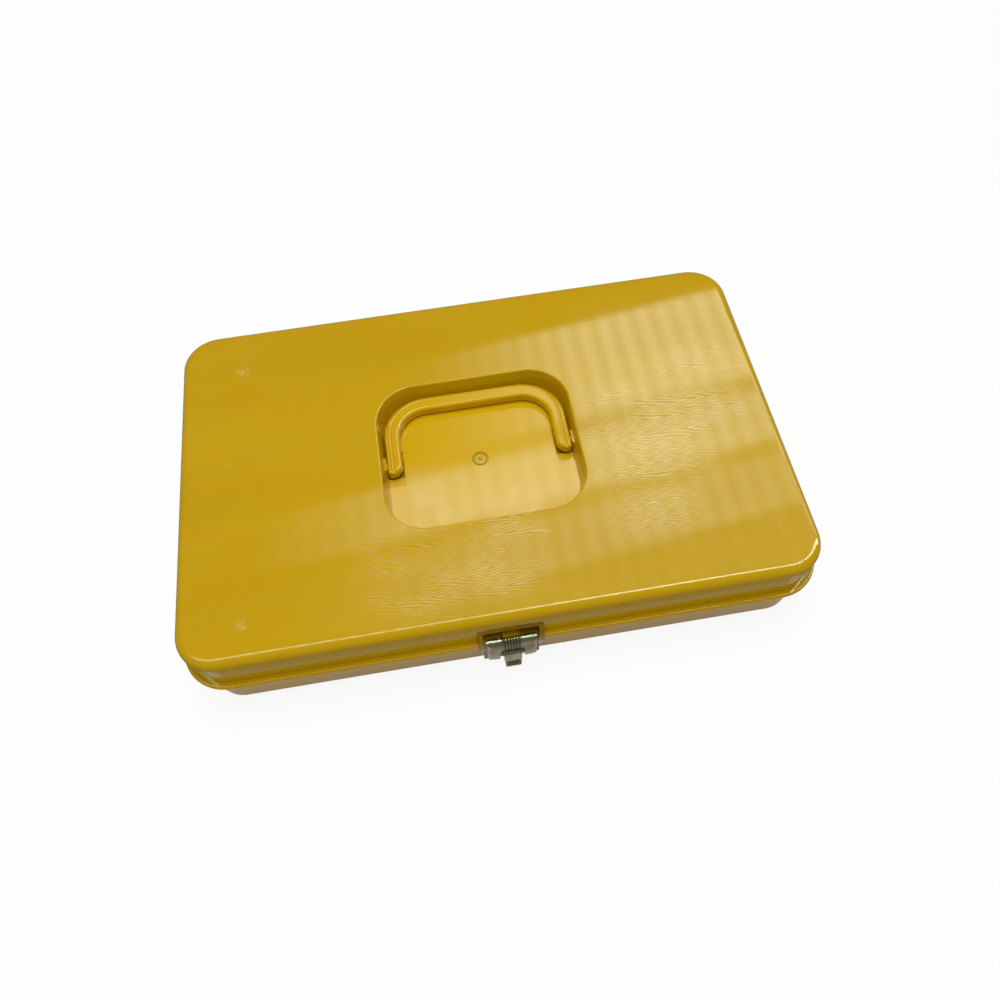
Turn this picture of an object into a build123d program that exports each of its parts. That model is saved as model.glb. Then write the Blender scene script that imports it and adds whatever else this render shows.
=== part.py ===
from build123d import *
import math
import os

# A flat moulded sewing box. Millimetres, X to the right, Y to the back, Z up.
# The origin is under the middle of the box, on the surface it stands on.

# Outside of the box
length = 317.5
depth = 200.0
height = 57.7
seam_height = 34.5
corner_radius = 20.0
top_edge_radius = 4.5
bottom_inset = 2.6
bottom_corner_radius = 16.2
bottom_edge_radius = 2.0

# Walls of the mouldings
lid_wall = 2.2
lid_top = 2.4
base_wall = 2.2
base_floor = 2.4

# Four moulded feet
foot_height = 0.8
foot_radius = 6.0
foot_inset = 24.0

# Rim flange outside the seam, and the lip inside it that locates the lid
flange_reach = 3.1
flange_thickness = 2.5
flange_edge_radius = 1.1
lip_height = 2.5
lip_thickness = 1.5
lip_root = 5.0
lip_gap = 0.3

# Carrying well sunk in the lid
well_length = 105.4
well_width = 88.4
well_centre_y = -1.0
well_depth = 14.0
well_corner_radius = 22.0
well_inset = 2.3
well_wall = 2.2
well_rim_radius = 0.9
gate_ring_radius = 4.1
gate_ring_width = 0.6
gate_dot_radius = 0.9
gate_height = 0.35

# Fold-down handle that lies in the well
pivot_y = 0.0
bar_width = 8.0
bar_height = 6.5
bar_edge_radius = 1.6
handle_floor_gap = 0.35
handle_side_gap = 0.4
handle_back_gap = 0.7
handle_corner_radius = 24.0
tip_reach = 6.2
tip_outer_radius = 2.0
groove_radius = 1.0
groove_lift = 0.15
groove_inset = 3.1
groove_start_inset = 1.5
groove_run = 4.7
stud_radius = 2.0
stud_length = 3.6
pad_gap = 0.35
pad_length = 8.0
pad_rise = 3.2
boss_radius = 4.0
boss_length = 1.2
pocket_gap = 0.4
pocket_length = 22.0
pocket_depth = 1.0
foot_gap = 0.5

# Rear hinges
running_gap = 0.05
hinge_distance = 180.0
hinge_length = 30.0
knuckle_radius = 3.0
knuckle_gap = 0.3
hinge_wall_gap = 0.6
hinge_pin_radius = 1.2
pin_head_radius = 1.9
pin_head_length = 0.8

# Latch bay in the front wall
bay_width = 28.0
bay_height = 9.7
bay_depth = 2.0
bay_wall = 2.0
bead_reach = 0.5
bead_height = 0.8
cheek_rise = 3.0
guard_width = 2.9
guard_gap = 0.5
guard_drop = 30.5
lug_width = 8.4
lug_height = 3.6
lug_lift = 0.4
lug_reach = 1.6

# Draw latch, in sheet metal of one gauge, with its heights measured from the seam
gauge = 0.8
plate_width = 24.0
plate_top_drop = 4.5
plate_bottom_drop = 26.5
plate_corner_radius = 2.5
rivet_distance = 18.0
rivet_drop = 22.5
rivet_radius = 1.5
rivet_head_radius = 2.6
rivet_head_height = 0.9
rivet_boss_radius = 4.0
rivet_boss_height = 1.0
lever_pin_reach = 4.6
lever_pin_drop = 10.9
lever_pin_radius = 0.8
claw_pin_reach = 3.2
claw_pin_drop = 16.3
claw_pin_radius = 0.6
ear_gap = 0.15
ear_radius = 1.7
lever_width = 9.2
crank_radius = 1.4
tab_drop = 14.2
tab_end_width = 7.8
tab_lip_length = 3.6
tab_lip_reach = 1.4
claw_width = 25.4
claw_reach = 4.8
claw_shelf = 2.8
claw_rise = 2.7
claw_bend_drop = 15.0
claw_bottom_drop = 22.9
claw_toe_in = 1.2
claw_corner_radius = 4.5
claw_top_radius = 2.5
claw_side_radius = 2.0
window_width = 12.8
window_drop = 6.9
claw_ear_radius = 1.4
flute_count = 7
flute_pitch = 1.45
flute_width = 0.75
flute_height = 0.35
tab_flute_count = 5
tab_flute_pitch = 1.4
tab_flute_radius = 0.35

# Inside of the base
divider_y = 12.0
divider_wall = 1.8
divider_height = 27.0
support_height = 15.0
support_width = 4.0
support_distance = 56.0
tray_gap = 0.6
tray_height = 15.5
tray_wall = 1.4
tray_inner_radius = 3.0
tray_long_cell = 34.0
tray_cells = 3
tray_draft = 1.0
grip_width = 26.0
grip_depth = 6.0

# Spool rack in the rear bay
rack_gap = 0.8
rack_thickness = 2.0
peg_columns = 8
peg_rows = 2
peg_pitch_x = 36.0
peg_pitch_y = 38.0
peg_length = 27.0
peg_root_radius = 2.9
peg_tip_radius = 2.1
peg_flange_radius = 5.0
peg_flange_height = 1.4
peg_stub_radius = 2.0

# Places worked out from the sizes above
front = -depth / 2
back = depth / 2
lid_height = height - seam_height
floor_top = foot_height + base_floor
wall_slope = bottom_inset / (seam_height - foot_height)
corner_slope = (corner_radius - bottom_corner_radius) / (seam_height - foot_height)
lip_length = length - 2 * (lid_wall + lip_gap)
lip_depth = depth - 2 * (lid_wall + lip_gap)
lip_corner = corner_radius - lid_wall - lip_gap
lip_inner_x = lip_length / 2 - lip_thickness
lip_inner_y = lip_depth / 2 - lip_thickness
lip_inner_corner = lip_corner - lip_thickness
well_floor = height - well_depth
well_floor_length = well_length - 2 * well_inset
well_floor_width = well_width - 2 * well_inset
handle_half = well_floor_length / 2 - handle_side_gap
handle_back = well_centre_y + well_floor_width / 2 - handle_back_gap
handle_bottom = well_floor + handle_floor_gap
pivot_z = handle_bottom + bar_height / 2
pad_x = handle_half + pad_gap
foot_corner = math.hypot(tip_reach - bar_edge_radius, bar_height / 2 - bar_edge_radius)
foot_room = foot_corner + bar_edge_radius + foot_gap
hinge_y = back + knuckle_radius + hinge_wall_gap
knuckle_length = (hinge_length - 2 * knuckle_gap) / 3
knuckle_step = knuckle_length + knuckle_gap
lever_pin_y = front - lever_pin_reach
claw_pin_y = front - claw_pin_reach
claw_front = front - claw_reach
claw_back = claw_front + claw_shelf
ear_x = lever_width / 2 + ear_gap
claw_ear_x = window_width / 2
plate_top = seam_height - plate_top_drop
plate_bottom = seam_height - plate_bottom_drop
rivet_height = seam_height - rivet_drop
lever_pin_height = seam_height - lever_pin_drop
claw_pin_height = seam_height - claw_pin_drop
claw_top = seam_height + claw_rise
claw_bend = seam_height - claw_bend_drop
claw_bottom = seam_height - claw_bottom_drop
window_top = seam_height - window_drop
guard_foot = seam_height - guard_drop
guard_x = claw_width / 2 + guard_gap


def wall_inset(z):
    """How far the drafted base wall stands inside its seam line at height z."""
    return wall_slope * (seam_height - z)


def inner_x(z):
    """Half the inside length of the base at height z."""
    return length / 2 - base_wall - wall_inset(z)


def inner_y(z):
    """Half the inside depth of the base at height z."""
    return depth / 2 - base_wall - wall_inset(z)


def inner_corner(z):
    """Inside corner radius of the base at height z."""
    return corner_radius - base_wall - corner_slope * (seam_height - z)


# Rim flange, cut away at the latch bay and behind the lid's hinge knuckles
with BuildPart() as rim_flange:
    with BuildSketch(Plane.XY.offset(seam_height - flange_thickness)):
        RectangleRounded(
            length + 2 * flange_reach, depth + 2 * flange_reach, corner_radius + flange_reach
        )
    extrude(amount=flange_thickness)
    rims = rim_flange.edges().group_by(Axis.Z)
    fillet(rims[0] + rims[-1], flange_edge_radius)
    with BuildSketch(Plane.XY.offset(seam_height - flange_thickness)):
        with Locations((0, front)):
            Rectangle(bay_width, 3 * flange_reach)
        with Locations((-hinge_distance / 2, hinge_y), (hinge_distance / 2, hinge_y)):
            Rectangle(knuckle_length + 2 * knuckle_gap, 2 * (knuckle_radius + knuckle_gap))
        for hinge_x in (-hinge_distance / 2, hinge_distance / 2):
            for side in (-1, 1):
                head_x = hinge_x + side * (hinge_length + pin_head_length + knuckle_gap) / 2
                with Locations((head_x, hinge_y)):
                    Rectangle(pin_head_length + knuckle_gap, 2 * (pin_head_radius + knuckle_gap))
    extrude(amount=flange_thickness, mode=Mode.SUBTRACT)

# Locating lip that stands up inside the lid, with its root on the base wall
with BuildPart() as rim_lip:
    with BuildSketch(Plane.XY.offset(seam_height - lip_root)):
        RectangleRounded(length - base_wall, depth - base_wall, corner_radius - base_wall / 2)
    extrude(amount=lip_root)
    with BuildSketch(Plane.XY.offset(seam_height)):
        RectangleRounded(lip_length, lip_depth, lip_corner)
        with Locations((0, front)):
            Rectangle(bay_width + 4 * bay_wall, depth / 4, mode=Mode.SUBTRACT)
    extrude(amount=lip_height)
    with BuildSketch(Plane.XY.offset(seam_height - lip_root)):
        RectangleRounded(2 * lip_inner_x, 2 * lip_inner_y, lip_inner_corner)
    extrude(amount=lip_root + lip_height, mode=Mode.SUBTRACT)

# Base: drafted tub with the flange, lip, latch seat, hinge knuckles and dividers
with BuildPart() as base_shell:
    with BuildSketch(Plane.XY.offset(foot_height)):
        RectangleRounded(length - 2 * bottom_inset, depth - 2 * bottom_inset, bottom_corner_radius)
    with BuildSketch(Plane.XY.offset(seam_height)):
        RectangleRounded(length, depth, corner_radius)
    loft(ruled=True)
    fillet(base_shell.faces().sort_by(Axis.Z)[0].edges(), bottom_edge_radius)
    add(rim_flange.part)

    # Inside of the tub
    with BuildSketch(Plane.XY.offset(floor_top)):
        RectangleRounded(2 * inner_x(floor_top), 2 * inner_y(floor_top), inner_corner(floor_top))
    with BuildSketch(Plane.XY.offset(seam_height)):
        RectangleRounded(2 * inner_x(seam_height), 2 * inner_y(seam_height), inner_corner(seam_height))
    loft(ruled=True, mode=Mode.SUBTRACT)
    add(rim_lip.part)

    # Feet
    with BuildSketch(Plane.XY):
        with GridLocations(length - 2 * foot_inset, depth - 2 * foot_inset, 2, 2):
            Circle(foot_radius)
    extrude(amount=foot_height + base_floor / 2)

    # Upright seat for the latch between two guard ribs
    with BuildSketch(Plane.YZ):
        with BuildLine():
            Polyline(
                (front, seam_height),
                (front, guard_foot),
                (front + wall_inset(guard_foot) + base_wall / 2, guard_foot),
                (front + base_wall / 2, seam_height),
                close=True,
            )
        make_face()
    extrude(amount=guard_x + guard_width / 2, both=True)
    for side in (-1, 1):
        with BuildSketch(Plane.YZ.offset(side * (guard_x + guard_width / 2))):
            with BuildLine():
                Polyline(
                    (front - flange_reach, seam_height),
                    (front - flange_reach, seam_height - 2 * flange_thickness),
                    (front + wall_inset(guard_foot), guard_foot),
                    (front + base_wall / 2, seam_height),
                    close=True,
                )
            make_face()
        extrude(amount=guard_width / 2, both=True)

    # Bosses behind the latch rivets, and the rivet holes
    rivet_boss_y = -inner_y(rivet_height) + rivet_boss_height
    with BuildSketch(Plane.XZ.offset(-rivet_boss_y)):
        with Locations((-rivet_distance / 2, rivet_height), (rivet_distance / 2, rivet_height)):
            Circle(rivet_boss_radius)
    extrude(amount=rivet_boss_height + base_wall / 2)
    with BuildSketch(Plane.XZ.offset(-rivet_boss_y)):
        with Locations((-rivet_distance / 2, rivet_height), (rivet_distance / 2, rivet_height)):
            Circle(rivet_radius + running_gap)
    extrude(amount=rivet_boss_y - front, mode=Mode.SUBTRACT)

    # Long divider between the trays and the spool rack
    with BuildSketch(Plane.XZ.offset(-divider_y)):
        divider_top = floor_top + divider_height
        with BuildLine():
            Polyline(
                (-inner_x(floor_top) - base_wall / 2, floor_top - base_floor / 2),
                (inner_x(floor_top) + base_wall / 2, floor_top - base_floor / 2),
                (inner_x(divider_top) + base_wall / 2, divider_top),
                (-inner_x(divider_top) - base_wall / 2, divider_top),
                close=True,
            )
        make_face()
    extrude(amount=divider_wall / 2, both=True)

    # Ribs that carry the trays: one across the middle, two on each end wall
    support_top = floor_top + support_height
    with BuildSketch(Plane.YZ):
        with BuildLine():
            Polyline(
                (-inner_y(floor_top) - base_wall / 2, floor_top - base_floor / 2),
                (divider_y, floor_top - base_floor / 2),
                (divider_y, support_top),
                (-inner_y(support_top) - base_wall / 2, support_top),
                close=True,
            )
        make_face()
    extrude(amount=divider_wall / 2, both=True)
    tray_middle_y = (divider_y - divider_wall / 2 - inner_y(support_top)) / 2
    for end in (-1, 1):
        for rib_y in (tray_middle_y - support_distance / 2, tray_middle_y + support_distance / 2):
            with BuildSketch(Plane.XZ.offset(-rib_y)):
                with BuildLine():
                    Polyline(
                        (end * (inner_x(floor_top) - support_width), floor_top - base_floor / 2),
                        (end * (inner_x(floor_top) - support_width), support_top),
                        (end * (inner_x(support_top) + base_wall / 2), support_top),
                        (end * (inner_x(floor_top) + base_wall / 2), floor_top - base_floor / 2),
                        close=True,
                    )
                make_face()
            extrude(amount=divider_wall / 2, both=True)

    # Outer knuckles of the two hinges
    for hinge_x in (-hinge_distance / 2, hinge_distance / 2):
        for side in (-1, 1):
            start = hinge_x + side * knuckle_step - knuckle_length / 2
            with BuildSketch(Plane.YZ.offset(start)):
                with Locations((hinge_y, seam_height)):
                    Circle(knuckle_radius)
            extrude(amount=knuckle_length)
        with BuildSketch(Plane.YZ.offset(hinge_x)):
            with Locations((hinge_y, seam_height)):
                Circle(hinge_pin_radius + running_gap)
        extrude(amount=hinge_length / 2, both=True, mode=Mode.SUBTRACT)

# Room inside the lid, with the wall's thickness left all round
with BuildPart() as lid_room:
    with BuildSketch(Plane.XY.offset(seam_height)):
        RectangleRounded(length - 2 * lid_wall, depth - 2 * lid_wall, corner_radius - lid_wall)
    extrude(amount=lid_height - lid_top)
    fillet(lid_room.faces().sort_by(Axis.Z)[-1].edges(), top_edge_radius - lid_wall)

# Lid: cover with a sunk carrying well, the latch bay and the middle hinge knuckles
with BuildPart() as lid_shell:
    with BuildSketch(Plane.XY.offset(seam_height)):
        RectangleRounded(length, depth, corner_radius)
    extrude(amount=lid_height)
    fillet(lid_shell.faces().sort_by(Axis.Z)[-1].edges(), top_edge_radius)
    add(lid_room.part, mode=Mode.SUBTRACT)

    # Walls and floor of the well, with room below it for the pockets and the turning feet
    well_plane = Plane((0, well_centre_y, 0))
    with BuildSketch(well_plane.offset(well_floor - well_wall)):
        RectangleRounded(
            well_floor_length + 2 * well_wall, well_floor_width + 2 * well_wall, well_corner_radius
        )
    with BuildSketch(well_plane.offset(height - lid_top / 2)):
        RectangleRounded(
            well_length + 2 * well_wall, well_width + 2 * well_wall,
            well_corner_radius + well_inset,
        )
    loft(ruled=True)
    pocket_x = handle_half - bar_width / 2
    pocket_width = bar_width + 2 * pocket_gap
    with BuildSketch(Plane.XY.offset(well_floor - pocket_depth - well_wall)):
        with Locations((-pocket_x, pivot_y), (pocket_x, pivot_y)):
            Rectangle(pocket_width + 2 * well_wall, pocket_length + 2 * well_wall)
    extrude(amount=pocket_depth + well_wall)
    for side in (-1, 1):
        with BuildSketch(Plane.YZ.offset(side * pocket_x)):
            with Locations((pivot_y, pivot_z)):
                Circle(foot_room + well_wall)
            with Locations((pivot_y, well_floor)):
                Rectangle(
                    2 * (foot_room + well_wall), well_depth, mode=Mode.INTERSECT,
                    align=(Align.CENTER, Align.MAX),
                )
        extrude(amount=pocket_width / 2 + well_wall, both=True)

    # Bosses on the outside of the well for the handle's studs
    boss_root = well_length / 2
    boss_end = well_length / 2 + well_wall + boss_length
    for side in (-1, 1):
        with BuildSketch(Plane.YZ.offset(side * boss_root)):
            with Locations((pivot_y, pivot_z)):
                Circle(boss_radius)
        extrude(amount=side * (boss_end - boss_root))

    # The well itself
    with BuildSketch(well_plane.offset(well_floor)):
        RectangleRounded(well_floor_length, well_floor_width, well_corner_radius - well_inset)
    with BuildSketch(well_plane.offset(height)):
        RectangleRounded(well_length, well_width, well_corner_radius)
    loft(ruled=True, mode=Mode.SUBTRACT)
    well_rim = lid_shell.faces().sort_by(Axis.Z)[-1].inner_wires()[0].edges()
    fillet(well_rim, well_rim_radius)

    # Flat pads beside the handle feet, then shallow pockets with a scoop under each turning foot
    for side in (-1, 1):
        with BuildSketch(Plane.YZ.offset(side * pad_x)):
            with Locations((pivot_y, well_floor)):
                Rectangle(
                    pad_length, pivot_z - well_floor + pad_rise, align=(Align.CENTER, Align.MIN)
                )
        extrude(amount=side * (boss_root - pad_x))
    with BuildSketch(Plane.XY.offset(well_floor)):
        with Locations((-pocket_x, pivot_y), (pocket_x, pivot_y)):
            Rectangle(pocket_width, pocket_length)
    extrude(amount=-pocket_depth, mode=Mode.SUBTRACT)
    for side in (-1, 1):
        with BuildSketch(Plane.YZ.offset(side * pocket_x)):
            with Locations((pivot_y, pivot_z)):
                Circle(foot_room)
            with Locations((pivot_y, well_floor)):
                Rectangle(
                    2 * foot_room, well_depth, mode=Mode.INTERSECT, align=(Align.CENTER, Align.MAX)
                )
        extrude(amount=pocket_width / 2, both=True, mode=Mode.SUBTRACT)
    with BuildSketch(Plane.YZ):
        with Locations((pivot_y, pivot_z)):
            Circle(stud_radius + running_gap)
    extrude(amount=boss_end, both=True, mode=Mode.SUBTRACT)

    # Ring left by the moulding gate
    with BuildSketch(well_plane.offset(well_floor)):
        Circle(gate_ring_radius)
        Circle(gate_ring_radius - gate_ring_width, mode=Mode.SUBTRACT)
        Circle(gate_dot_radius)
    extrude(amount=gate_height)

    # Latch bay with the catch lug
    with BuildSketch(Plane.XY.offset(seam_height)):
        with Locations((0, front + lid_wall / 2)):
            Rectangle(bay_width + 2 * bay_wall, lid_wall / 2 + bay_depth, align=(Align.CENTER, Align.MIN))
    extrude(amount=bay_height + bay_wall)
    with BuildSketch(Plane.XY.offset(seam_height)):
        with Locations((0, front)):
            Rectangle(bay_width, 2 * bay_depth)
    extrude(amount=bay_height, mode=Mode.SUBTRACT)
    bay_top = seam_height + bay_height
    with BuildSketch(Plane.XY.offset(bay_top)):
        with Locations((0, front - bead_reach)):
            Rectangle(bay_width, bead_reach + lid_wall / 2, align=(Align.CENTER, Align.MIN))
    extrude(amount=bead_height)
    cheek_width = guard_x + guard_width - bay_width / 2
    for side in (-1, 1):
        with BuildSketch(Plane.YZ.offset(side * bay_width / 2)):
            with BuildLine():
                Polyline(
                    (front - bead_reach, bay_top + bead_height),
                    (front - flange_reach, seam_height + cheek_rise),
                    (front - flange_reach, seam_height),
                    (front + lid_wall / 2, seam_height),
                    (front + lid_wall / 2, bay_top + bead_height),
                    close=True,
                )
            make_face()
        extrude(amount=side * cheek_width)
    lug_bottom = seam_height + lug_lift
    with BuildSketch(Plane.YZ):
        with BuildLine():
            Polyline(
                (front + bay_depth + lid_wall / 2, lug_bottom),
                (front + bay_depth, lug_bottom),
                (front - lug_reach, lug_bottom + lug_height / 3),
                (front - lug_reach, lug_bottom + lug_height),
                (front + bay_depth + lid_wall / 2, lug_bottom + lug_height),
                close=True,
            )
        make_face()
    extrude(amount=lug_width / 2, both=True)

    # Middle knuckle of each hinge, on a web from the rear wall
    for hinge_x in (-hinge_distance / 2, hinge_distance / 2):
        with BuildSketch(Plane.YZ.offset(hinge_x)):
            with Locations((hinge_y, seam_height)):
                Circle(knuckle_radius)
            web_height = knuckle_radius - knuckle_gap
            with Locations((back - lid_wall / 2, seam_height + knuckle_gap)):
                Rectangle(hinge_y - back + lid_wall / 2, web_height, align=(Align.MIN, Align.MIN))
        extrude(amount=knuckle_length / 2, both=True)
        with BuildSketch(Plane.YZ.offset(hinge_x)):
            with Locations((hinge_y, seam_height)):
                Circle(hinge_pin_radius + running_gap)
        extrude(amount=hinge_length / 2, both=True, mode=Mode.SUBTRACT)

# Hinge pins with a head at each end
hinge_pins = {}
for name, hinge_x in (("hinge_pin_left", -hinge_distance / 2), ("hinge_pin_right", hinge_distance / 2)):
    with BuildPart() as hinge_pin:
        with BuildSketch(Plane.YZ.offset(hinge_x)):
            with Locations((hinge_y, seam_height)):
                Circle(hinge_pin_radius)
        extrude(amount=hinge_length / 2 + pin_head_length / 2, both=True)
        for side in (-1, 1):
            with BuildSketch(Plane.YZ.offset(hinge_x + side * hinge_length / 2)):
                with Locations((hinge_y, seam_height)):
                    Circle(pin_head_radius)
            extrude(amount=side * pin_head_length)
        heads = hinge_pin.edges().group_by(Axis.X)
        chamfer(heads[0] + heads[-1], pin_head_length / 2)
    hinge_pins[name] = hinge_pin.part

# Handle: a flat bail with a grooved top, round feet and moulded studs
with BuildPart() as carry_handle:
    inner_half = handle_half - bar_width
    inner_back = handle_back - bar_width
    tip_y = pivot_y - tip_reach
    tip_x = handle_half - tip_outer_radius
    tip_inner_radius = bar_width - tip_outer_radius
    outer_foot_y = tip_y + tip_outer_radius
    inner_foot_y = tip_y + tip_inner_radius
    with BuildSketch(Plane.XY.offset(handle_bottom)):
        with BuildLine():
            FilletPolyline(
                (-handle_half, outer_foot_y), (-handle_half, handle_back),
                (handle_half, handle_back), (handle_half, outer_foot_y),
                radius=handle_corner_radius,
            )
            FilletPolyline(
                (-inner_half, inner_foot_y), (-inner_half, inner_back),
                (inner_half, inner_back), (inner_half, inner_foot_y),
                radius=handle_corner_radius - bar_width,
            )
            CenterArc((-tip_x, outer_foot_y), tip_outer_radius, 180, 90)
            CenterArc((-tip_x, inner_foot_y), tip_inner_radius, 270, 90)
            CenterArc((tip_x, inner_foot_y), tip_inner_radius, 180, 90)
            CenterArc((tip_x, outer_foot_y), tip_outer_radius, 270, 90)
        make_face()
    extrude(amount=bar_height)
    faces = carry_handle.faces().sort_by(Axis.Z)
    fillet(faces[0].edges() + faces[-1].edges(), bar_edge_radius)

    # Round groove along the arms and the corners, which parts each arm into two ridges
    groove_x = handle_half - groove_inset
    groove_z = handle_bottom + bar_height + groove_lift
    groove_turn = handle_corner_radius - groove_inset
    groove_end_x = groove_x - groove_turn - groove_run
    for side in (-1, 1):
        with BuildLine(Plane.XY.offset(groove_z)) as groove_path:
            FilletPolyline(
                (side * groove_x, tip_y - groove_radius), (side * groove_x, handle_back - groove_inset),
                (side * groove_end_x, handle_back - groove_start_inset),
                radius=groove_turn,
            )
        with BuildSketch(Plane((side * groove_x, tip_y - groove_radius, groove_z), z_dir=(0, 1, 0))):
            Circle(groove_radius)
        sweep(path=groove_path.line, mode=Mode.SUBTRACT)
    for side in (-1, 1):
        with BuildSketch(Plane.YZ.offset(side * (handle_half - bar_width / 2))):
            with Locations((pivot_y, pivot_z)):
                Circle(stud_radius)
        extrude(amount=side * (bar_width / 2 + stud_length))

# Latch plate riveted to the base, with two ears that hold the lever's pin
with BuildPart() as latch_plate:
    with BuildSketch(Plane.XZ.offset(-front)):
        with Locations((0, (plate_bottom + plate_top) / 2)):
            RectangleRounded(plate_width, plate_top - plate_bottom, plate_corner_radius)
        with Locations((-rivet_distance / 2, rivet_height), (rivet_distance / 2, rivet_height)):
            Circle(rivet_radius + running_gap, mode=Mode.SUBTRACT)
    extrude(amount=gauge)
    for side in (-1, 1):
        with BuildSketch(Plane.YZ.offset(side * ear_x)):
            with Locations((lever_pin_y, lever_pin_height)):
                Circle(ear_radius)
                Rectangle(lever_pin_reach - gauge / 2, 2 * ear_radius, align=(Align.MIN, Align.CENTER))
        extrude(amount=side * gauge)
    with BuildSketch(Plane.YZ):
        with Locations((lever_pin_y, lever_pin_height)):
            Circle(lever_pin_radius + running_gap)
    extrude(amount=plate_width / 2, both=True, mode=Mode.SUBTRACT)

# Two rivets through the plate, the wall and its bosses
with BuildPart() as latch_rivets:
    outer_face = front - gauge
    shank = rivet_boss_y - outer_face
    for rivet_x in (-rivet_distance / 2, rivet_distance / 2):
        with BuildSketch(Plane.XZ.offset(-outer_face)):
            with Locations((rivet_x, rivet_height)):
                Circle(rivet_radius)
        extrude(amount=-shank)
        with BuildSketch(Plane.XZ.offset(-outer_face)):
            with Locations((rivet_x, rivet_height)):
                Circle(rivet_head_radius)
        extrude(amount=rivet_head_height)
        with BuildSketch(Plane.XZ.offset(-rivet_boss_y)):
            with Locations((rivet_x, rivet_height)):
                Circle(rivet_head_radius)
        extrude(amount=-rivet_head_height)
    ends = latch_rivets.edges().group_by(Axis.Y)
    chamfer(ends[0] + ends[-1], rivet_head_height / 2)

# Pin of the lever, held in the plate's ears
with BuildPart() as latch_lever_pin:
    with BuildSketch(Plane.YZ):
        with Locations((lever_pin_y, lever_pin_height)):
            Circle(lever_pin_radius)
    extrude(amount=ear_x + gauge + running_gap, both=True)

# Lever: barrel, two cranks to the claw's pin and the thumb tab
with BuildPart() as latch_lever:
    with BuildSketch(Plane.YZ):
        with Locations((lever_pin_y, lever_pin_height)):
            Circle(ear_radius)
    extrude(amount=lever_width / 2, both=True)
    for side in (-1, 1):
        with BuildSketch(Plane.YZ.offset(side * (lever_width / 2 - gauge))):
            with BuildLine():
                Polyline(
                    (lever_pin_y - ear_radius, lever_pin_height),
                    (lever_pin_y + ear_radius, lever_pin_height),
                    (claw_pin_y + crank_radius, claw_pin_height),
                    (claw_pin_y - crank_radius, claw_pin_height),
                    close=True,
                )
            make_face()
            with Locations((claw_pin_y, claw_pin_height)):
                Circle(crank_radius)
        extrude(amount=side * gauge)
    tab_front = lever_pin_y - ear_radius
    tab_bottom = lever_pin_height - tab_drop
    with BuildSketch(Plane.YZ):
        with BuildLine():
            Polyline(
                (tab_front, lever_pin_height),
                (tab_front, tab_bottom + tab_lip_length),
                (tab_front - tab_lip_reach, tab_bottom),
                (tab_front - tab_lip_reach + gauge, tab_bottom),
                (tab_front + gauge, tab_bottom + tab_lip_length),
                (tab_front + gauge, lever_pin_height),
                close=True,
            )
        make_face()
    extrude(amount=lever_width / 2, both=True)
    with BuildSketch(Plane.XZ.offset(-lever_pin_y)):
        for side in (-1, 1):
            with BuildLine():
                Polyline(
                    (side * lever_width / 2, tab_bottom + 2 * tab_lip_length),
                    (side * lever_width, tab_bottom + 2 * tab_lip_length),
                    (side * lever_width, tab_bottom - 1),
                    (side * tab_end_width / 2, tab_bottom - 1),
                    close=True,
                )
            make_face()
    extrude(amount=2 * claw_reach, mode=Mode.SUBTRACT)
    lip_foot = Vector(0, tab_front - tab_lip_reach, tab_bottom)
    lip_rise = Vector(0, tab_lip_reach, tab_lip_length)
    with BuildSketch(Plane(lip_foot, x_dir=(1, 0, 0), z_dir=lip_rise)):
        with GridLocations(tab_flute_pitch, 0, tab_flute_count, 1):
            Circle(tab_flute_radius)
    extrude(amount=lip_rise.length)
    with BuildSketch(Plane.YZ):
        with Locations((lever_pin_y, lever_pin_height)):
            Circle(lever_pin_radius + running_gap)
        with Locations((claw_pin_y, claw_pin_height)):
            Circle(claw_pin_radius + running_gap)
    extrude(amount=lever_width, both=True, mode=Mode.SUBTRACT)

# Pin of the claw, carried by the lever's cranks
claw_pin_half = claw_ear_x + gauge
with BuildPart() as latch_claw_pin:
    with BuildSketch(Plane.YZ):
        with Locations((claw_pin_y, claw_pin_height)):
            Circle(claw_pin_radius)
    extrude(amount=claw_pin_half + running_gap, both=True)

def claw_block(inset):
    """Solid form of the claw with a rolled top, smaller by an inset at the top, front and ends."""
    block_front = claw_front + inset
    block_top = claw_top - inset
    block_half = claw_width / 2 - inset
    with BuildPart() as block:
        with BuildSketch(Plane.YZ):
            with BuildLine():
                FilletPolyline(
                    (claw_back + inset, block_top), (block_front, block_top),
                    (block_front, claw_bend),
                    radius=claw_top_radius - inset,
                )
                Polyline(
                    (block_front, claw_bend),
                    (block_front + claw_toe_in, claw_bottom - inset),
                    (claw_back + inset, claw_bottom - inset),
                    (claw_back + inset, block_top),
                )
            make_face()
        extrude(amount=block_half, both=True)
        with BuildSketch(Plane.XY.offset(claw_bottom - 2 * inset)):
            with BuildLine():
                FilletPolyline(
                    (-block_half, front), (-block_half, block_front),
                    (block_half, block_front), (block_half, front),
                    radius=claw_side_radius - inset,
                )
                Line((-block_half, front), (block_half, front))
            make_face()
        extrude(amount=claw_top - claw_bottom + 2 * inset, mode=Mode.INTERSECT)
    return block.part


# One flute: a ridge with broken edges that follows the front and the rolled top of the claw
with BuildPart() as claw_flute:
    flute_front = claw_front - flute_height
    flute_top = claw_top + flute_height
    root_front = claw_front + gauge / 2
    root_top = claw_top - gauge / 2
    with BuildSketch(Plane.YZ):
        with BuildLine():
            FilletPolyline(
                (flute_front, window_top), (flute_front, flute_top), (claw_back, flute_top),
                radius=claw_top_radius + flute_height,
            )
            FilletPolyline(
                (root_front, window_top), (root_front, root_top), (claw_back, root_top),
                radius=claw_top_radius - gauge / 2,
            )
            Line((flute_front, window_top), (root_front, window_top))
            Line((claw_back, flute_top), (claw_back, root_top))
        make_face()
    extrude(amount=flute_width / 2, both=True)
    chamfer(claw_flute.edges().filter_by(Axis.X, reverse=True), flute_height / 2)

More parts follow.
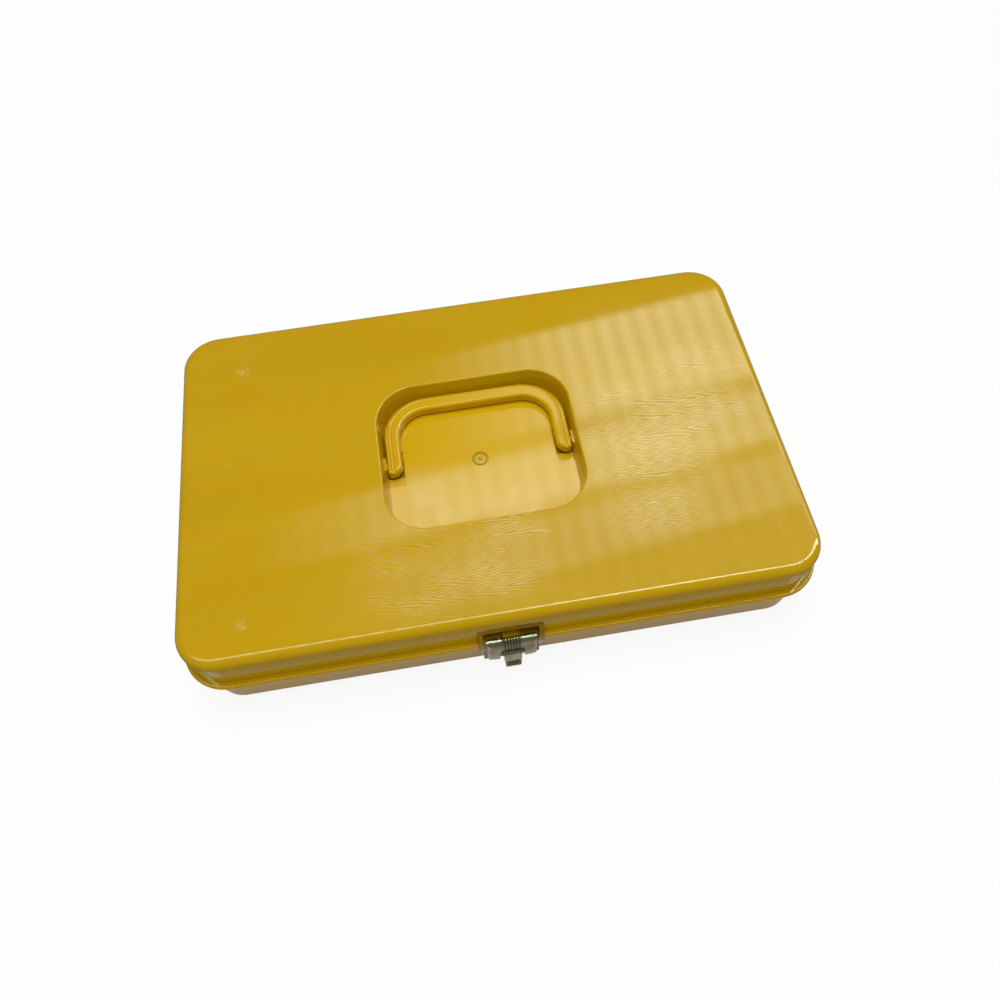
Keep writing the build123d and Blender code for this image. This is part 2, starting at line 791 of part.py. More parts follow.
# Claw: pressed cover with a hooked shelf, open behind and round the lever
with BuildPart() as latch_claw:
    add(claw_block(0))
    add(claw_block(gauge), mode=Mode.SUBTRACT)
    with BuildSketch(Plane.XZ.offset(-claw_back)):
        claw_height = claw_top - claw_bottom
        with Locations((0, (claw_top + claw_bottom) / 2)):
            Rectangle(claw_width + 2, claw_height + 2)
            RectangleRounded(claw_width, claw_height, claw_corner_radius, mode=Mode.SUBTRACT)
        with Locations((0, claw_top)):
            Rectangle(claw_width + 2, 2 * claw_corner_radius, mode=Mode.SUBTRACT)
        with Locations((0, window_top)):
            Rectangle(window_width, claw_height, align=(Align.CENTER, Align.MAX))
    extrude(amount=claw_shelf + 1, mode=Mode.SUBTRACT)
    with GridLocations(flute_pitch, 0, flute_count, 1):
        add(claw_flute.part)
    for side in (-1, 1):
        with BuildSketch(Plane.YZ.offset(side * claw_ear_x)):
            with Locations((claw_pin_y, claw_pin_height)):
                Circle(claw_ear_radius)
                Rectangle(
                    claw_pin_y - claw_front - gauge / 2, 2 * claw_ear_radius,
                    align=(Align.MAX, Align.CENTER),
                )
        extrude(amount=side * gauge)
    with BuildSketch(Plane.YZ):
        with Locations((claw_pin_y, claw_pin_height)):
            Circle(claw_pin_radius + running_gap)
    extrude(amount=claw_width, both=True, mode=Mode.SUBTRACT)

# Two lift-out trays, left and right of the middle rib, round where the tub is round
tray_bottom = support_top
tray_top = tray_bottom + tray_height
tray_low_y = -min(inner_y(tray_bottom), lip_inner_y) + tray_gap
tray_high_y = divider_y - divider_wall / 2 - tray_gap
tray_depth = tray_high_y - tray_low_y
tray_length = min(inner_x(tray_bottom), lip_inner_x) - 1.5 * tray_gap
tray_corner = lip_inner_corner - tray_gap
cell_length = (tray_length - (tray_cells + 1) * tray_wall) / tray_cells
cell_depth = tray_depth - tray_long_cell - 3 * tray_wall
trays = {}
for name, side in (("notions_tray_left", -1), ("notions_tray_right", 1)):
    tray_plane = Plane((side * (tray_gap + tray_length) / 2, (tray_low_y + tray_high_y) / 2, 0))
    with BuildPart() as tray:
        with BuildSketch(tray_plane.offset(tray_bottom)):
            outline = Rectangle(tray_length, tray_depth)
            outer = outline.vertices().sort_by(Axis.Y)[:2].sort_by(Axis.X)[0 if side < 0 else -1]
            fillet(outer, tray_corner)
        extrude(amount=tray_height)
        with BuildSketch(tray_plane.offset(tray_top)) as long_cell:
            with Locations((0, -tray_depth / 2 + tray_wall + tray_long_cell / 2)):
                Rectangle(tray_length - 2 * tray_wall, tray_long_cell)
            corners = long_cell.vertices().sort_by(Axis.X)
            outer = (corners[:2] if side < 0 else corners[-2:]).sort_by(Axis.Y)[0]
            fillet(outer, tray_corner - tray_wall)
        extrude(amount=-(tray_height - tray_wall), taper=tray_draft, mode=Mode.SUBTRACT)
        with BuildSketch(tray_plane.offset(tray_top)):
            with Locations((0, tray_depth / 2 - tray_wall - cell_depth / 2)):
                with GridLocations(cell_length + tray_wall, 0, tray_cells, 1):
                    RectangleRounded(cell_length, cell_depth, tray_inner_radius)
        extrude(amount=-(tray_height - tray_wall), taper=tray_draft, mode=Mode.SUBTRACT)
        with BuildSketch(tray_plane.offset(tray_top)):
            with Locations((0, tray_depth / 2 - 2 * tray_wall - cell_depth)):
                RectangleRounded(grip_width, 2 * tray_wall + 1, tray_wall)
        extrude(amount=-grip_depth, mode=Mode.SUBTRACT)
    trays[name] = tray.part

# Rack plate on the floor of the rear bay
rack_low_y = divider_y + divider_wall / 2 + rack_gap
rack_high_y = inner_y(floor_top) - rack_gap
rack_length = 2 * (inner_x(floor_top) - rack_gap)
rack_y = (rack_low_y + rack_high_y) / 2
rack_corner = inner_corner(floor_top) - rack_gap
with BuildPart() as spool_rack:
    with BuildSketch(Plane((0, rack_y, floor_top))):
        Rectangle(rack_length, rack_high_y - rack_low_y)
    extrude(amount=rack_thickness)
    fillet(spool_rack.edges().filter_by(Axis.Z).group_by(Axis.Y)[-1], rack_corner)
    with BuildSketch(Plane((0, rack_y, floor_top))):
        with GridLocations(peg_pitch_x, peg_pitch_y, peg_columns, peg_rows):
            Circle(peg_stub_radius + running_gap)
    extrude(amount=rack_thickness, mode=Mode.SUBTRACT)

# Tapered pegs pushed into the rack
with BuildPart() as spool_pegs:
    rack_top = floor_top + rack_thickness
    with GridLocations(peg_pitch_x, peg_pitch_y, peg_columns, peg_rows) as grid:
        for place in grid.locations:
            peg_foot = (place.position.X, rack_y + place.position.Y, rack_top)
            peg_plane = Plane(peg_foot, x_dir=(1, 0, 0), z_dir=(0, -1, 0))
            with BuildSketch(peg_plane):
                with BuildLine():
                    Polyline(
                        (0, -rack_thickness),
                        (peg_stub_radius, -rack_thickness),
                        (peg_stub_radius, 0),
                        (peg_flange_radius, 0),
                        (peg_flange_radius, peg_flange_height),
                        (peg_root_radius, peg_flange_height),
                        (peg_tip_radius, peg_length),
                        (0, peg_length),
                        close=True,
                    )
                make_face()
            revolve(axis=Axis(peg_foot, (0, 0, 1)))

pieces = {
    "base_shell": base_shell.part,
    "lid_shell": lid_shell.part,
    "carry_handle": carry_handle.part,
    "latch_plate": latch_plate.part,
    "latch_rivets": latch_rivets.part,
    "latch_lever_pin": latch_lever_pin.part,
    "latch_lever": latch_lever.part,
    "latch_claw_pin": latch_claw_pin.part,
    "latch_claw": latch_claw.part,
    "spool_rack": spool_rack.part,
    "spool_pegs": spool_pegs.part,
    **hinge_pins,
    **trays,
}
os.makedirs("parts", exist_ok=True)
for name, piece in pieces.items():
    piece.label = name
    export_step(piece, f"parts/{name}.step")
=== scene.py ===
"""Finishes, stage and camera for a moulded sewing caddy with a handle and a nickel latch."""

import math

import bmesh
import bpy
from bpy.props import FloatProperty, FloatVectorProperty, PointerProperty
from mathutils import Matrix, Vector


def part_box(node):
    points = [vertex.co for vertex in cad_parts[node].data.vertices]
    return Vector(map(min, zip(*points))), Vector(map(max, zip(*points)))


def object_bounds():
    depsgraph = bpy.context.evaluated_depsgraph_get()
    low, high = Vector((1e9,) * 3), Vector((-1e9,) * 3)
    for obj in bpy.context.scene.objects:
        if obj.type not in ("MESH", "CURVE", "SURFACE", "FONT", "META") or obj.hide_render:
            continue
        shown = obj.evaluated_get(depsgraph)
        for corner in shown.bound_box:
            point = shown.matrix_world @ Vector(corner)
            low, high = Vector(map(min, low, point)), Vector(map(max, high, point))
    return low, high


bl_info = {
    "name": "Sewing Caddy Finish",
    "version": (1, 0, 0),
    "blender": (4, 5, 0),
    "location": "3D Viewport > Sidebar > Caddy",
    "description": "Dresses the moulded sewing caddy and lights it on a pale floor",
    "category": "Object",
}

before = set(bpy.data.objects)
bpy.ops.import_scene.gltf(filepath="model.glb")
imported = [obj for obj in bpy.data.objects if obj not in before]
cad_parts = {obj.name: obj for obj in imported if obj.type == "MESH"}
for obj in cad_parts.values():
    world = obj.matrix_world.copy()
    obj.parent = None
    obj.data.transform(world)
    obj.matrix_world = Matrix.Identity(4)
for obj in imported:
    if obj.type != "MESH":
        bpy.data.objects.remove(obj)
FRAME_LOW, FRAME_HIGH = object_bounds()

MM = 0.001
LID_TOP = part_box("lid_shell")[1].z
RIM_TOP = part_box("base_shell")[1].z

# The lid's grain: fine lines that close in flames, strong in fields and broken up by patches
GRAIN_PITCH = 1.30 * MM
FLAME_WIDTH = 7.2 * MM
FLAME_LEAN = 0.14
DRIFT_SCALE = (16.0, 60.0, 0.0)
DRIFT_SHARE = 0.8
PATCH_SCALE = (14.0, 40.0, 0.0)
PATCH_LIMITS = (0.35, 0.62)
PATCH_FAINTEST = 0.25
# Each field's X, Y and reach, in millimetres
GRAIN_FIELDS_MM = ((92, -8, 52), (120, 12, 44), (80, -40, 40), (-38, -62, 40), (0, -64, 34))
FIELD_CORE = 0.3
GRAIN_ELSEWHERE = 0.06
# Depths under the lid's top where the grain starts and where it is full
GRAIN_EDGE = (0.25 * MM, 0.02 * MM)
CREST_SHARPNESS = 3.0
# Crests of the grain are lightened towards haze: a painted glint
CREST_GLINT = 0.85

# Clouds and specks that every material shares, with the scales of both in each material
GOLD_CLOUDS = (28.0, 1600.0)
CREAM_CLOUDS = (40.0, 1500.0)
METAL_CLOUDS = (160.0, 2500.0)
CLOUD_LIMITS = (0.35, 0.68)
SPECK_LIMIT = 0.73
SPECK_GAIN = 12.0

# How upright a normal is where a face starts to count as level, and where it does
LEVEL_LIMITS = (0.9990, 0.9998)

# Gold plastic: its streaks, its faint ripple, and the band under the base's rim with a painted
# highlight
PLASTIC_IOR = 1.46
STREAK_SCALE = (5.0, 22.0, 22.0)
STREAK_LIMITS = (0.3, 0.75)
STREAK_SHARE = 0.55
RIPPLE_SCALE = 45.0
RIPPLE_DEPTH = 0.005 * MM
CLOUD_ROUGHNESS = 0.015
RIM_BAND = (0.9 * MM, 0.2 * MM)
RIM_HIGHLIGHT = 0.70

# The well: its half width, its depth, where its smooth part starts, and where the front of its
# floor is hazed, partly by wear and partly as painted reflection
WELL_REACH = 62.0 * MM
WELL_DEPTH = 14.0 * MM
WELL_SMOOTH_FROM = 8.0 * MM
WELL_FADE = 1.0 * MM
WELL_UNDERSIDE = (1.2 * MM, 0.8 * MM)
FRONT_WELL_BAND = (-34.0 * MM, 6.0 * MM)
FRONT_WELL_HAZE_LIMITS = (0.24, 0.56)

# Rubbed spots on the lid, each by X and Y in millimetres and strength
RUB_MARKS_MM = (
    (-126.6, -80.8, 0.8),
    (-124.2, 71.4, 0.7),
    (125.6, 76.2, 0.35),
    (138.8, -75.7, 0.35),
)
RUB_RADII = (0.8 * MM, 6.5 * MM)
RUB_CORE_SHARPNESS = 6.0
RUB_CORE_SHARE = 0.8
SCRATCH_SCALE = 420.0
SCRATCH_LIMITS = (0.5, 0.68)
DUST_ON_TOP = 0.10
DUST_IN_WELL = 0.25
RUB_HAZE = 0.8

# Painted shade in the creases of the gate mark in the well, and painted shade in the latch's bay
GATE_MM = (0.0, -1.0)
GATE_RINGS_MM = (4.2, 3.3, 0.95)
GATE_BAND = (0.12 * MM, 0.42 * MM)
GATE_SHADE = 0.75
BAY_REACH = 16.4 * MM
BAY_FRONT = -98.5 * MM
BAY_TOP = 48.0 * MM
BAY_FADES = (0.4 * MM, 1.0 * MM, 0.6 * MM)
BAY_SHADE_LIMITS = (0.62, 0.82)

# Cream plastic of the trays, the rack and the pegs
CREAM_ROUGHNESS = 0.30
CREAM_CLOUD_SHARE = 0.10
CREAM_SPECK_DEPTH = 0.1 * MM

# Latch and pins, and the flutes of the claw and the ribs of the tab
NICKEL_ROUGHNESS = 0.22
STEEL_ROUGHNESS = 0.28
CLAW_ROUGHNESS = 0.32
TARNISH_SHARE = 0.35
TARNISH_ROUGHNESS = 0.10
RUBBED_DEPTH = 0.02 * MM
CLAW_FLUTE_PITCH = 1.45 * MM
CLAW_FLUTES = 7
TAB_RIB_PITCH = 1.4 * MM
TAB_RIBS = 5
TAB_RIB_HEIGHT = 3.6 * MM
FLUTE_FADE = 0.1 * MM
FLUTE_DEPTH = 0.22 * MM
RIDGE_SHINE = 0.8

# Camera
CAMERA_SHIFT_MM = (10.2, -12.31)
CAMERA_TARGET_Z_MM = 20.0
SENSOR_MM = 36.0

# Lamp overhead
KEY_PLACE = (0.02, 0.0, 1.25)
KEY_TARGET = (0.0, 0.0, 0.03)
KEY_SIZE = (0.8, 0.6)

# Floor: what lights it, what the camera sees, and what gloss shows of it near the caddy and far off
FLOOR_REACH = 3.0
FLOOR_LIT = (0.64, 0.62, 0.59)
FLOOR_SEEN = (0.92, 0.92, 0.92)
FLOOR_IN_GLOSS_NEAR = (0.50, 0.44, 0.38)
FLOOR_IN_GLOSS = (0.17, 0.15, 0.10)
FLOOR_IN_GLOSS_FAR = (0.14, 0.13, 0.11)
CONTACT_BAND = (2 * MM, 14 * MM)
FAR_BAND = (0.25, 0.80)
SEEN_BAND = (0.3, 1.2)
SEEN_GLOW = (0.90, 1.0)
GLOSS_GLOW = (0.24, 0.03)

# Room: its light, and what gloss shows of it, with a glow over the horizon that is weaker in front
WHITE = (1.0, 1.0, 1.0)
ROOM_LIGHT = (0.38, 0.38, 0.38)
ROOM_GLOW = 0.72
ROOM_GLOW_TOP = 0.14
ROOM_FRONT = (-0.95, -0.30)
ROOM_FRONT_SHARE = 0.15
ROOM_LEVEL = 0.11

# Window behind the caddy, in slopes from straight up. Each pane has a lower and an upper bound,
# a strength and a left edge.
WINDOW_PANES = (
    (0.02, 0.26, 6.0, -0.80),
    (0.02, 0.26, 9.0, -0.10),
    (0.29, 0.405, 0.9, -0.30),
    (0.405, 0.812, 1.5, -0.10),
    (0.405, 0.487, 1.3, -0.28),
    (0.515, 0.602, 3.2, -0.32),
    (0.632, 0.812, 4.0, -0.04),
)
WINDOW_TINT = (0.90, 1.0, 0.76)
WINDOW_SLANT = 0.12
WINDOW_HORIZON = (0.05, 0.30)
PANE_EDGE = 0.008
PANE_FADE = 0.35
SLAT_PITCH = 0.0333
SLAT_DEPTH = 0.17


def colour_property(name, description, default):
    """A colour that a user may change, in the scene's linear values."""
    return FloatVectorProperty(
        name=name, description=description, default=default, subtype="COLOR", size=3, min=0, max=1
    )


class CaddyColours(bpy.types.PropertyGroup):
    """The colour of each material."""

    gold: colour_property("Gold", "Moulded plastic of the shells", (0.555, 0.334, 0.0018))
    gold_light: colour_property(
        "Light gold", "Smooth plastic of the well and the handle", (0.63, 0.385, 0.003)
    )
    gold_deep: colour_property(
        "Deep gold", "Darker streaks in the moulded plastic", (0.49, 0.284, 0.0015)
    )
    # Rubbed and scuffed plastic, and also the colour of painted highlights on the base's rim and
    # the grain's crests, and of painted reflection on the well's floor
    haze_and_highlight: colour_property("Haze", "Rubbed and scuffed plastic", (0.78, 0.62, 0.28))
    # This colour is painted shade: it darkens the latch's bay and the creases of the gate mark
    painted_shade: colour_property(
        "Grime", "Old dirt in the creases of the gold plastic", (0.20, 0.10, 0.002)
    )
    cream: colour_property("Cream", "Plastic of the trays and the rack", (0.80, 0.70, 0.50))
    nickel: colour_property("Nickel", "Plated steel of the latch", (0.70, 0.67, 0.52))
    # Tarnish on the metal, and also painted shade between the flutes of the claw and the ribs of
    # the tab
    nickel_tarnish_and_shade: colour_property("Dull nickel", "Tarnish on the metal", (0.22, 0.20, 0.12))
    steel: colour_property("Steel", "Hinge and latch pins", (0.55, 0.54, 0.52))


class CaddyFinish(bpy.types.PropertyGroup):
    """The grain and the gloss of the surfaces."""

    grain_pitch: FloatProperty(
        name="Grain pitch", description="From one line of the lid's grain to the next",
        default=GRAIN_PITCH, subtype="DISTANCE", unit="LENGTH",
    )
    grain_depth: FloatProperty(
        name="Grain depth", description="Depth of the lid's grain",
        default=0.0042 * MM, subtype="DISTANCE", unit="LENGTH",
    )
    flame_width: FloatProperty(
        name="Flame width", description="From one flame of the grain to the next",
        default=FLAME_WIDTH, subtype="DISTANCE", unit="LENGTH",
    )
    top_roughness: FloatProperty(
        name="Lid top roughness", description="Roughness of the grained top",
        default=0.030, subtype="FACTOR", min=0, max=1,
    )
    gloss_roughness: FloatProperty(
        name="Gloss roughness", description="Roughness of the smooth walls, well and handle",
        default=0.045, subtype="FACTOR", min=0, max=1,
    )


class CaddyStage(bpy.types.PropertyGroup):
    """The camera and the lamp."""

    azimuth: FloatProperty(
        name="Azimuth", description="Turn of the camera round the caddy",
        default=math.radians(-6.12), subtype="ANGLE", unit="ROTATION",
    )
    elevation: FloatProperty(
        name="Elevation", description="Height of the camera above the horizon",
        default=math.radians(61.51), subtype="ANGLE", unit="ROTATION",
    )
    roll: FloatProperty(
        name="Roll", description="Tilt of the camera about its own line of sight",
        default=math.radians(-3.52), subtype="ANGLE", unit="ROTATION",
    )
    distance: FloatProperty(
        name="Distance", description="From the camera to the middle of the view",
        default=453.71 * MM, subtype="DISTANCE", unit="LENGTH",
    )
    lens: FloatProperty(
        name="Lens", description="Focal length in millimetres",
        default=28.54, subtype="DISTANCE_CAMERA",
    )
    key_power: FloatProperty(
        name="Key power", description="Power of the large lamp overhead",
        default=10.4, subtype="POWER", unit="POWER",
    )


def fill(tree, socket, value):
    """Links a socket to the one that is given, or sets its own value."""
    if isinstance(value, bpy.types.NodeSocket):
        tree.links.new(value, socket)
    else:
        socket.default_value = value


def add(tree, kind, inputs=None, **settings):
    """Adds a node, sets it, and fills its inputs with values or with links from other sockets."""
    made = tree.nodes.new(kind)
    for name, value in settings.items():
        setattr(made, name, value)
    for name, value in (inputs or {}).items():
        fill(tree, made.inputs[name], value)
    return made


def math_node(tree, operation, first, second=0.0, third=0.0, clamp=False):
    """The output of a Math node."""
    made = add(
        tree, "ShaderNodeMath", {0: first, 1: second, 2: third},
        operation=operation, use_clamp=clamp,
    )
    return made.outputs[0]


def gather(tree, operation, first, *others):
    """Any number of values, taken together by Math nodes of one kind."""
    for other in others:
        first = math_node(tree, operation, first, other)
    return first


def product(tree, *values):
    """The product of any number of values."""
    return gather(tree, "MULTIPLY", *values)


def strongest(tree, *values):
    """The highest of any number of values."""
    return gather(tree, "MAXIMUM", *values)


def ramp_between(tree, value, low, high, to_low=0.0, to_high=1.0):
    """A smooth step of a value from low to high."""
    made = add(
        tree, "ShaderNodeMapRange",
        {"Value": value, "From Min": low, "From Max": high, "To Min": to_low, "To Max": to_high},
        interpolation_type="SMOOTHSTEP",
    )
    return made.outputs["Result"]


def fade_between(tree, value, low, high, strength=1.0):
    """A smooth step down to nothing of a value from low to high."""
    return ramp_between(tree, value, low, high, strength, 0.0)


def blend_colour(tree, factor, first, second, blend="MIX"):
    """The output of a colour Mix node."""
    made = add(tree, "ShaderNodeMix", data_type="RGBA", blend_type=blend, clamp_factor=True)
    for name, value in (("Factor", factor), (6, first), (7, second)):
        fill(tree, made.inputs[name], value)
    return made.outputs[2]


def opaque(colour):
    """A linear colour with its alpha."""
    return (*colour, 1.0)


def cleared_tree(owner):
    """The emptied node tree of a material or a world."""
    owner.use_nodes = True
    owner.node_tree.nodes.clear()
    return owner.node_tree


def axes(tree, place):
    """The X, Y and Z of a place or a direction."""
    return add(tree, "ShaderNodeSeparateXYZ", {"Vector": place}).outputs


def in_plan(tree, place):
    """A place with its height left out."""
    made = add(tree, "ShaderNodeVectorMath", {0: place, 1: (1.0, 1.0, 0.0)}, operation="MULTIPLY")
    return made.outputs[0]


def distance_from(tree, plan, x_mm, y_mm):
    """How far a place in plan is from a point that is given in millimetres."""
    made = add(
        tree, "ShaderNodeVectorMath", {0: plan, 1: (x_mm * MM, y_mm * MM, 0.0)},
        operation="DISTANCE",
    )
    return made.outputs["Value"]


def stretched(tree, place, scale):
    """A place stretched along its axes, for a pattern that runs one way."""
    return add(tree, "ShaderNodeMapping", {"Vector": place, "Scale": scale}).outputs[0]


def noise(tree, place, scale=1.0, detail=2.0, roughness=0.5):
    """Cloudy noise from 0 to 1."""
    made = add(
        tree, "ShaderNodeTexNoise",
        {"Vector": place, "Scale": scale, "Detail": detail, "Roughness": roughness},
    )
    return made.outputs["Fac"]


def bump(tree, height, depth, normal=None, strength=1.0):
    """The normal that a height gives, over another normal where there is one."""
    inputs = {"Height": height, "Strength": strength, "Distance": depth}
    if normal is not None:
        inputs["Normal"] = normal
    return add(tree, "ShaderNodeBump", inputs).outputs[0]


def new_group(name, inputs, outputs):
    """An empty shader node group with its named sockets, its input node and its output node."""
    tree = bpy.data.node_groups.new(name, "ShaderNodeTree")
    for label, kind, default in inputs:
        socket = tree.interface.new_socket(label, in_out="INPUT", socket_type=kind)
        if default is not None:
            socket.default_value = default
    for label, kind in outputs:
        tree.interface.new_socket(label, in_out="OUTPUT", socket_type=kind)
    return tree, tree.nodes.new("NodeGroupInput").outputs, tree.nodes.new("NodeGroupOutput").inputs


def grain_group():
    """Fine lines along the lid that close in long nested flames, and where they show."""
    tree, given, result = new_group(
        "Moulded Grain",
        [("Vector", "NodeSocketVector", None), ("Pitch", "NodeSocketFloat", GRAIN_PITCH),
         ("Flame", "NodeSocketFloat", FLAME_WIDTH)],
        [("Height", "NodeSocketFloat"), ("Patch", "NodeSocketFloat")],
    )
    place = axes(tree, given["Vector"])
    drift = noise(tree, stretched(tree, given["Vector"], DRIFT_SCALE), detail=2.0)
    stray = product(tree, math_node(tree, "SUBTRACT", drift, 0.5), given["Flame"])
    bent = math_node(tree, "ADD", place["Y"], stray)
    zigzag = math_node(tree, "PINGPONG", bent, product(tree, given["Flame"], 0.5))
    along = product(tree, place["X"], FLAME_LEAN)
    depth = gather(tree, "ADD", along, zigzag, product(tree, stray, DRIFT_SHARE))
    turns = product(tree, math_node(tree, "DIVIDE", depth, given["Pitch"]), math.tau)
    wave = math_node(tree, "MULTIPLY_ADD", math_node(tree, "SINE", turns), 0.5, 0.5)
    tree.links.new(wave, result["Height"])
    patch = noise(tree, stretched(tree, given["Vector"], PATCH_SCALE), detail=2.0)
    share = ramp_between(tree, patch, *PATCH_LIMITS, PATCH_FAINTEST, 1.0)
    plan = in_plan(tree, given["Vector"])
    fields = [
        fade_between(tree, distance_from(tree, plan, x, y), FIELD_CORE * reach * MM, reach * MM)
        for x, y, reach in GRAIN_FIELDS_MM
    ]
    shown = math_node(
        tree, "MULTIPLY_ADD", strongest(tree, *fields), 1.0 - GRAIN_ELSEWHERE, GRAIN_ELSEWHERE
    )
    tree.links.new(product(tree, shown, share), result["Patch"])


def speckle_group():
    """Fine dirt and cloudiness: a mask of soft clouds and a mask of small specks."""
    tree, given, result = new_group(
        "Cloud and Speck",
        [("Vector", "NodeSocketVector", None), ("Cloud Scale", "NodeSocketFloat", GOLD_CLOUDS[0]),
         ("Speck Scale", "NodeSocketFloat", GOLD_CLOUDS[1])],
        [("Cloud", "NodeSocketFloat"), ("Speck", "NodeSocketFloat")],
    )
    cloud = noise(tree, given["Vector"], given["Cloud Scale"], detail=4.0, roughness=0.55)
    tree.links.new(ramp_between(tree, cloud, *CLOUD_LIMITS), result["Cloud"])
    speck = noise(tree, given["Vector"], given["Speck Scale"], detail=2.0, roughness=0.6)
    above = math_node(tree, "SUBTRACT", speck, SPECK_LIMIT)
    tree.links.new(math_node(tree, "MULTIPLY", above, SPECK_GAIN, clamp=True), result["Speck"])


def flat_group():
    """The surface's normal, made exactly level on level faces, so that they mirror evenly."""
    tree, _given, result = new_group("Level Faces", [], [("Normal", "NodeSocketVector")])
    surface = add(tree, "ShaderNodeNewGeometry").outputs
    level = ramp_between(tree, axes(tree, surface["True Normal"])["Z"], *LEVEL_LIMITS)
    chosen = add(
        tree, "ShaderNodeMix", {"Factor": level, 4: surface["Normal"], 5: surface["True Normal"]},
        data_type="VECTOR",
    )
    tree.links.new(chosen.outputs[1], result["Normal"])


def group_node(tree, group, inputs):
    """Places a shared effect in a material."""
    made = tree.nodes.new("ShaderNodeGroup")
    made.node_tree = bpy.data.node_groups[group]
    for name, value in inputs.items():
        fill(tree, made.inputs[name], value)
    return made.outputs


def clouds_and_specks(tree, place, cloud_scale, speck_scale):
    """The shared clouds and specks, at a material's own scales."""
    return group_node(
        tree, "Cloud and Speck",
        {"Vector": place, "Cloud Scale": cloud_scale, "Speck Scale": speck_scale},
    )


def new_material(name, constants):
    """A material with its Principled shader, whose plain values are set on its own sockets."""
    made = bpy.data.materials.new(name)
    tree = cleared_tree(made)
    shader = add(tree, "ShaderNodeBsdfPrincipled", constants)
    add(tree, "ShaderNodeOutputMaterial", {"Surface": shader.outputs["BSDF"]})
    place = add(tree, "ShaderNodeTexCoord").outputs["Object"]
    return made, tree, shader, place


def connect_finish(tree, shader, colour, roughness, normal):
    """Feeds the shader with what changes over the surface."""
    for name, value in (("Base Color", colour), ("Roughness", roughness), ("Normal", normal)):
        tree.links.new(value, shader.inputs[name])


def rub_marks(tree, place):
    """A mask of the four spots on the lid's top where feet have rubbed."""
    plan = in_plan(tree, place)
    spots = [
        fade_between(tree, distance_from(tree, plan, x, y), *RUB_RADII, strength)
        for x, y, strength in RUB_MARKS_MM
    ]
    return strongest(tree, *spots)


def well_height(tree, height):
    """A mask of the lower walls and the floor of the well, by height, without its underside."""
    from_top = LID_TOP - WELL_SMOOTH_FROM
    floor = LID_TOP - WELL_DEPTH
    below, above = WELL_UNDERSIDE
    return product(
        tree,
        fade_between(tree, height, from_top - WELL_FADE, from_top),
        ramp_between(tree, height, floor - below, floor - above),
    )


def well_plan(tree, parts):
    """A mask of the well in plan, which leaves out the lid's outer walls."""
    off = [math_node(tree, "ABSOLUTE", parts[axis]) for axis in ("X", "Y")]
    return product(
        tree, *(fade_between(tree, away, WELL_REACH, WELL_REACH + WELL_FADE) for away in off)
    )


def bay_shade_share(tree, parts, cloud):
    """The share of painted shade in and around the latch's bay, which darkens its recess."""
    sideways, forward, upward = BAY_FADES
    across = math_node(tree, "ABSOLUTE", parts["X"])
    inside = product(
        tree,
        fade_between(tree, across, BAY_REACH, BAY_REACH + sideways),
        fade_between(tree, parts["Y"], BAY_FRONT, BAY_FRONT + forward),
        fade_between(tree, parts["Z"], BAY_TOP, BAY_TOP + upward),
    )
    return product(tree, inside, ramp_between(tree, cloud, 0.0, 1.0, *BAY_SHADE_LIMITS))


def gate_shade_rings(tree, place):
    """A mask of painted shade in the creases of the round gate mark in the well."""
    away = distance_from(tree, in_plan(tree, place), *GATE_MM)
    rings = []
    for radius in GATE_RINGS_MM:
        off = math_node(tree, "ABSOLUTE", math_node(tree, "SUBTRACT", away, radius * MM))
        rings.append(fade_between(tree, off, *GATE_BAND, GATE_SHADE))
    return strongest(tree, *rings)


def scuffs(tree, place, on_top, in_well, speck):
    """The share of haze in the rubbed spots, with their scratches, and in the dust."""
    rubbed = product(tree, rub_marks(tree, place), on_top)
    broken = noise(tree, place, SCRATCH_SCALE, detail=4.0, roughness=0.7)
    core = product(tree, math_node(tree, "POWER", rubbed, RUB_CORE_SHARPNESS), RUB_CORE_SHARE)
    scratched = product(tree, rubbed, ramp_between(tree, broken, *SCRATCH_LIMITS))
    dustiness = math_node(tree, "MULTIPLY_ADD", in_well, DUST_IN_WELL, DUST_ON_TOP)
    marks = strongest(tree, scratched, core, product(tree, speck, dustiness))
    return product(tree, marks, RUB_HAZE)


def front_well_haze(tree, well, forward, cloud):
    """The share of haze on the front of the well's floor: partly wear, partly painted reflection.
    """
    return product(
        tree, well, fade_between(tree, forward, *FRONT_WELL_BAND),
        ramp_between(tree, cloud, 0.0, 1.0, *FRONT_WELL_HAZE_LIMITS),
    )


def lid_layers(tree, place, parts, mask, colour, rough, normal):
    """What the lid has over plain gold plastic: a grained top with painted glints on its crests, a
    worn well with painted reflection, rub marks, dust, and painted shade at the gate mark.
    """
    colours = bpy.context.scene.caddy_colours
    finish = bpy.context.scene.caddy_finish
    below, above = GRAIN_EDGE
    on_top = ramp_between(tree, parts["Z"], LID_TOP - below, LID_TOP - above)
    in_well = well_height(tree, parts["Z"])
    well = product(tree, in_well, well_plan(tree, parts))
    grain = group_node(
        tree, "Moulded Grain",
        {"Vector": place, "Pitch": finish.grain_pitch, "Flame": finish.flame_width},
    )
    relief = product(tree, grain["Height"], product(tree, on_top, grain["Patch"]))
    normal = bump(tree, relief, finish.grain_depth, normal)
    polish = product(tree, on_top, finish.top_roughness - finish.gloss_roughness)
    rough = math_node(tree, "ADD", rough, polish)
    crest = math_node(tree, "POWER", grain["Height"], CREST_SHARPNESS)
    layers = (
        (well, colours.gold_light),
        # Haze on the front of the well's floor: partly wear, partly painted reflection
        (front_well_haze(tree, well, parts["Y"], mask["Cloud"]), colours.haze_and_highlight),
        # Painted glints: the grain's crests are lightened towards haze
        (product(tree, crest, on_top, grain["Patch"], CREST_GLINT), colours.haze_and_highlight),
        (scuffs(tree, place, on_top, in_well, mask["Speck"]), colours.haze_and_highlight),
        # Painted shade in the creases of the gate mark
        (product(tree, gate_shade_rings(tree, place), in_well), colours.painted_shade),
    )
    for share, layer in layers:
        colour = blend_colour(tree, share, colour, opaque(layer))
    return colour, rough, normal


